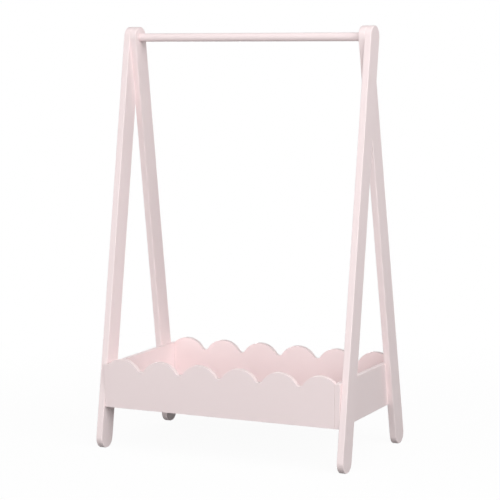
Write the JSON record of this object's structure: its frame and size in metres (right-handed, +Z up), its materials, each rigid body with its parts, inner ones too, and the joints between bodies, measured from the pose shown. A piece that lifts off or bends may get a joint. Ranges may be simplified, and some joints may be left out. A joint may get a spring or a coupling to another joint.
{
  "type": "kids clothing rack",
  "caption": "Low free-standing clothing rack for children in pale pink paint: A-frame ends of flat legs, a round hanging rail and a storage box with scalloped sides.",
  "frame": {"origin": "on the floor, under the middle of the rail", "axes": "+X along the rail to the right as seen from the front, -Y towards the front, +Z up"},
  "size_m": [0.64, 0.377, 1.0001],
  "materials": {
    "pink_paint": "satin paint",
    "steel": "zinc plated",
    "insert_metal": "plain",
    "bare_wood": "bare beech"
  },
  "bodies": {
    "root": {"back_panel": "pink_paint", "base_board": "pink_paint", "bolt_cover_left": "pink_paint", "bolt_cover_right": "pink_paint", "corner_dowels_front_left": "bare_wood", "corner_dowels_front_right": "bare_wood", "corner_dowels_rear_left": "bare_wood", "corner_dowels_rear_right": "bare_wood", "corner_screw_front_left": "steel", "corner_screw_front_right": "steel", "corner_screw_rear_left": "steel", "corner_screw_rear_right": "steel", "end_panel_left": "pink_paint", "end_panel_right": "pink_paint", "front_leg_left": "pink_paint", "front_leg_right": "pink_paint", "front_panel": "pink_paint", "hanging_rail": "pink_paint", "leg_bolt_front_left": "steel", "leg_bolt_front_right": "steel", "leg_bolt_rear_left": "steel", "leg_bolt_rear_right": "steel", "leg_insert_front_left": "insert_metal", "leg_insert_front_right": "insert_metal", "leg_insert_rear_left": "insert_metal", "leg_insert_rear_right": "insert_metal", "leg_peg_front_left": "bare_wood", "leg_peg_front_right": "bare_wood", "leg_peg_rear_left": "bare_wood", "leg_peg_rear_right": "bare_wood", "rail_bolt_left": "steel", "rail_bolt_right": "steel", "rail_insert_left": "insert_metal", "rail_insert_right": "insert_metal", "rear_leg_left": "pink_paint", "rear_leg_right": "pink_paint"}
  },
  "joints": []
}
